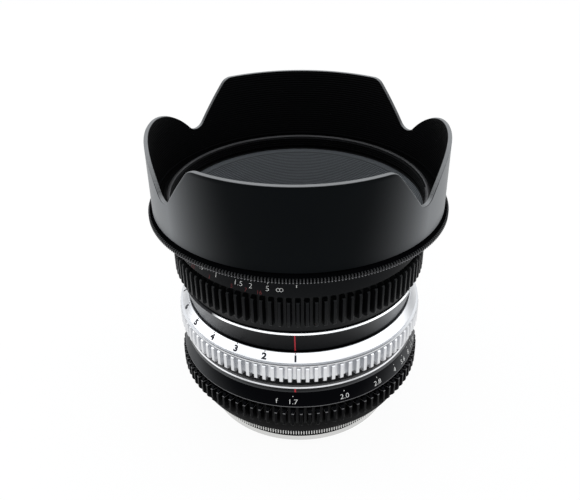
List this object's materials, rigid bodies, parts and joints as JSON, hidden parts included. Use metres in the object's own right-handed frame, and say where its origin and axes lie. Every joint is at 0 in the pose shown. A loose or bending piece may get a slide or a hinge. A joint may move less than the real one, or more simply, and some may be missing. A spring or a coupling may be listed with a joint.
{
  "type": "camera lens",
  "caption": "Manual wide-angle photographic lens with geared focus, aperture and softness rings, an iris and a lift-off petal hood.",
  "frame": {"origin": "on the optical axis, at the rear end of the bayonet tube, on which the lens stands", "axes": "+Z along the optical axis towards the front of the lens; -Y towards the index line"},
  "size_m": [0.0906, 0.0906, 0.1021],
  "materials": {
    "black": "satin black anodised",
    "hood_black": "satin black anodised",
    "silver": "satin clear anodised",
    "bright_mount": "chromed, satin",
    "steel": "machined",
    "blade_steel": "blackened",
    "baffle_grey": "matt black",
    "glass": "polished and coated"
  },
  "bodies": {
    "barrel": {"mount_bayonet": "bright_mount", "mount_screws": "steel", "rear_housing": "black", "mount_clamp_ring": "black", "main_barrel": "black", "aperture_index_ring": "black", "index_barrel": "black", "front_barrel": "black", "filter_ring": "black", "name_ring": "baffle_grey", "front_baffle": "baffle_grey", "front_element": "glass", "front_cell": "black", "front_retainer": "black", "iris_housing": "black", "iris_cover": "black", "rear_inner_element": "glass", "rear_outer_element": "glass", "rear_cell": "black", "rear_spacer": "black", "rear_retainer": "black"},
    "aperture": {"aperture_ring": "black", "iris_cam_plate": "black", "iris_drive_pin": "steel"},
    "control": {"control_ring": "silver"},
    "control_group": {"control_element": "glass", "control_carrier": "black", "control_retainer": "black", "control_followers": "steel"},
    "focus": {"focus_ring": "black"},
    "focus_group": {"focus_crown": "glass", "focus_flint": "glass", "focus_carrier": "black", "focus_retainer": "black", "focus_followers": "steel"},
    "hood": {"hood_shell": "hood_black", "hood_grip_ring": "hood_black"},
    "blade_1": {"iris_blade_1": "blade_steel"},
    "blade_2": {"iris_blade_2": "blade_steel"},
    "blade_3": {"iris_blade_3": "blade_steel"},
    "blade_4": {"iris_blade_4": "blade_steel"},
    "blade_5": {"iris_blade_5": "blade_steel"},
    "blade_6": {"iris_blade_6": "blade_steel"},
    "blade_7": {"iris_blade_7": "blade_steel"},
    "blade_8": {"iris_blade_8": "blade_steel"}
  },
  "joints": [
    {"name": "focus_turn", "type": "hinge", "parent": "barrel", "child": "focus", "pos_m": [0, 0, 0.0636], "axis": [0, 0, 1], "range_deg": [0, 115]},
    {"name": "focus_slide", "type": "slide", "parent": "focus", "child": "focus_group", "axis": [0, 0, 1], "range_m": [0, 0.00345]},
    {"name": "control_turn", "type": "hinge", "parent": "barrel", "child": "control", "pos_m": [0, 0, 0.0393], "axis": [0, 0, 1], "range_deg": [0, 84]},
    {"name": "control_slide", "type": "slide", "parent": "control", "child": "control_group", "axis": [0, 0, 1], "range_m": [0, 0.0028]},
    {"name": "aperture_turn", "type": "hinge", "parent": "barrel", "child": "aperture", "pos_m": [0, 0, 0.0246], "axis": [0, 0, 1], "range_deg": [-78, 0]},
    {"name": "hood_lift", "type": "slide", "parent": "barrel", "child": "hood", "axis": [0, 0, 1], "range_m": [0, 0.03]},
    {"name": "blade_1_swing", "type": "hinge", "parent": "barrel", "child": "blade_1", "pos_m": [0.0218, 0, 0.0212], "axis": [0, 0, 1], "range_deg": [0, 35.61]},
    {"name": "blade_2_swing", "type": "hinge", "parent": "barrel", "child": "blade_2", "pos_m": [0.01541, 0.01541, 0.0212], "axis": [0, 0, 1], "range_deg": [0, 35.61]},
    {"name": "blade_3_swing", "type": "hinge", "parent": "barrel", "child": "blade_3", "pos_m": [0, 0.0218, 0.0212], "axis": [0, 0, 1], "range_deg": [0, 35.61]},
    {"name": "blade_4_swing", "type": "hinge", "parent": "barrel", "child": "blade_4", "pos_m": [-0.01541, 0.01541, 0.0212], "axis": [0, 0, 1], "range_deg": [0, 35.61]},
    {"name": "blade_5_swing", "type": "hinge", "parent": "barrel", "child": "blade_5", "pos_m": [-0.0218, 0, 0.0212], "axis": [0, 0, 1], "range_deg": [0, 35.61]},
    {"name": "blade_6_swing", "type": "hinge", "parent": "barrel", "child": "blade_6", "pos_m": [-0.01541, -0.01541, 0.0212], "axis": [0, 0, 1], "range_deg": [0, 35.61]},
    {"name": "blade_7_swing", "type": "hinge", "parent": "barrel", "child": "blade_7", "pos_m": [0, -0.0218, 0.0212], "axis": [0, 0, 1], "range_deg": [0, 35.61]},
    {"name": "blade_8_swing", "type": "hinge", "parent": "barrel", "child": "blade_8", "pos_m": [0.01541, -0.01541, 0.0212], "axis": [0, 0, 1], "range_deg": [0, 35.61]}
  ],
  "couplings": [
    {"joint": "focus_slide", "follows": "focus_turn", "m_per_rad": 0.0017189},
    {"joint": "control_slide", "follows": "control_turn", "m_per_rad": 0.0019099},
    {"joint": "blade_1_swing", "follows": "aperture_turn", "ratio": -0.45641},
    {"joint": "blade_2_swing", "follows": "aperture_turn", "ratio": -0.45641},
    {"joint": "blade_3_swing", "follows": "aperture_turn", "ratio": -0.45641},
    {"joint": "blade_4_swing", "follows": "aperture_turn", "ratio": -0.45641},
    {"joint": "blade_5_swing", "follows": "aperture_turn", "ratio": -0.45641},
    {"joint": "blade_6_swing", "follows": "aperture_turn", "ratio": -0.45641},
    {"joint": "blade_7_swing", "follows": "aperture_turn", "ratio": -0.45641},
    {"joint": "blade_8_swing", "follows": "aperture_turn", "ratio": -0.45641}
  ]
}
